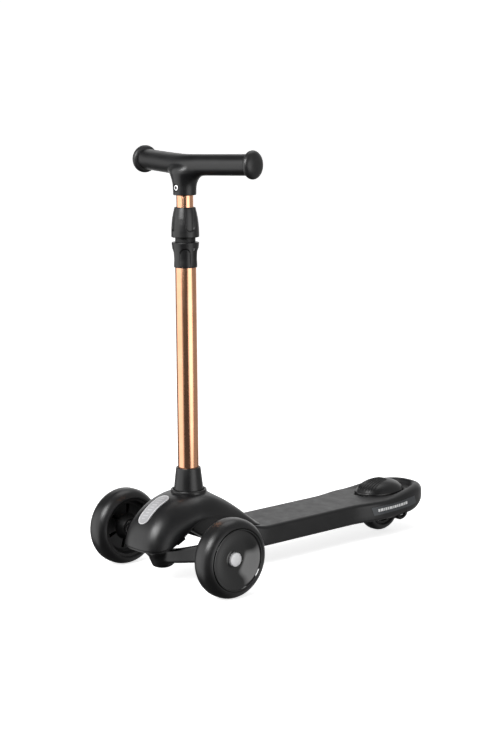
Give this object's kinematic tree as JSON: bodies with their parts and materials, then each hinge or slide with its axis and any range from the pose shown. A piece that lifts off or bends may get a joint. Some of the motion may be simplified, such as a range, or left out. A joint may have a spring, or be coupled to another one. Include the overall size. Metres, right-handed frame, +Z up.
{
  "type": "kick scooter",
  "caption": "Children's kick scooter with two front wheels on a lean-to-steer truck, one rear wheel under a domed brake, and a telescopic T-handle.",
  "frame": {"origin": "on the floor, under the middle of the scooter's box", "axes": "+Z up, +X to the rider's left along the front axle, -Y forwards"},
  "size_m": [0.2976, 0.597, 0.6516],
  "materials": {
    "satin_black": "satin moulded",
    "core_black": "fine-grained glass-filled nylon",
    "gloss_black": "glossy",
    "rose_gold": "anodised rose gold, satin",
    "tyre_black": "satin cast polyurethane",
    "rubber_black": "soft satin",
    "badge_silver": "satin silver",
    "cap_silver": "satin light silver",
    "label_grey": "printed film",
    "nylon_white": "natural nylon",
    "nylon_grey": "grey nylon",
    "steel": "zinc plated",
    "screw_chrome": "chrome plated"
  },
  "bodies": {
    "frame": {"deck": "satin_black", "side_label_left": "label_grey", "side_label_right": "label_grey", "head_core": "core_black", "head_cover": "satin_black", "cover_screws": "steel", "nose_badge": "badge_silver", "stem_sleeve": "satin_black", "lower_tube": "rose_gold", "stem_bolt": "steel", "stem_nut": "steel", "lower_collar": "satin_black", "collar_screw": "steel", "collet": "nylon_grey", "kingpin": "steel", "kingpin_washer": "steel", "kingpin_nut": "steel", "bumper_left": "rubber_black", "bumper_right": "rubber_black", "rear_axle_bolt": "steel", "rear_axle_nut": "steel", "rear_spacers": "nylon_white", "brake_pin": "steel", "brake_spring": "steel"},
    "front_truck": {"axle_beam": "satin_black", "kingpin_bushes": "nylon_white", "boss_cap": "satin_black", "axle_bolt_left": "steel", "axle_bolt_right": "steel", "wheel_spacer_left": "nylon_white", "wheel_spacer_right": "nylon_white"},
    "wheel_left": {"tyre_left": "tyre_black", "hub_left": "core_black", "hub_cover_left": "gloss_black", "bearings_left": "steel", "axle_cap_left": "cap_silver"},
    "wheel_right": {"tyre_right": "tyre_black", "hub_right": "core_black", "hub_cover_right": "gloss_black", "bearings_right": "steel", "axle_cap_right": "cap_silver"},
    "wheel_rear": {"rear_tyre": "tyre_black", "rear_hub": "core_black", "rear_bearings": "steel"},
    "brake": {"brake_pedal": "satin_black", "brake_pad": "steel"},
    "clamp_ring": {"slip_ring": "nylon_white"},
    "clamp_nut": {"twist_collar": "satin_black"},
    "handle": {"upper_tube": "rose_gold", "tube_bush": "nylon_grey", "tube_plug": "core_black", "handlebar": "satin_black", "end_pad_left": "rubber_black", "end_pad_right": "rubber_black", "handle_screw": "screw_chrome"}
  },
  "joints": [
    {"name": "steer", "type": "hinge", "parent": "frame", "child": "front_truck", "pos_m": [0, -0.2495, 0.045], "axis": [0, -0.4226, 0.9063], "range_deg": [-12, 12], "stiffness_Nm_per_rad": 80, "deforming": ["bumper_left", "bumper_right"]},
    {"name": "wheel_left_spin", "type": "hinge", "parent": "front_truck", "child": "wheel_left", "pos_m": [0.128, -0.2215, 0.06], "axis": [1, 0, 0], "continuous": true},
    {"name": "wheel_right_spin", "type": "hinge", "parent": "front_truck", "child": "wheel_right", "pos_m": [-0.128, -0.2215, 0.06], "axis": [1, 0, 0], "continuous": true},
    {"name": "wheel_rear_spin", "type": "hinge", "parent": "frame", "child": "wheel_rear", "pos_m": [0, 0.2185, 0.04], "axis": [1, 0, 0], "continuous": true},
    {"name": "brake_press", "type": "hinge", "parent": "frame", "child": "brake", "pos_m": [0, 0.174, 0.059], "axis": [-1, 0, 0], "range_deg": [0, 3.2], "stiffness_Nm_per_rad": 0.6, "springref_deg": -20.05, "deforming": ["brake_spring"]},
    {"name": "handle_slide", "type": "slide", "parent": "frame", "child": "handle", "axis": [0, 0, 1], "range_m": [-0.015, 0.17]},
    {"name": "collar_lift", "type": "slide", "parent": "frame", "child": "clamp_ring", "axis": [0, 0, 1], "range_m": [0, 0.0016]},
    {"name": "collar_twist", "type": "hinge", "parent": "clamp_ring", "child": "clamp_nut", "pos_m": [0, -0.194, 0.54], "axis": [0, 0, 1], "range_deg": [0, 180]}
  ],
  "couplings": [
    {"joint": "collar_lift", "follows": "collar_twist", "m_per_rad": 0.0004775}
  ]
}
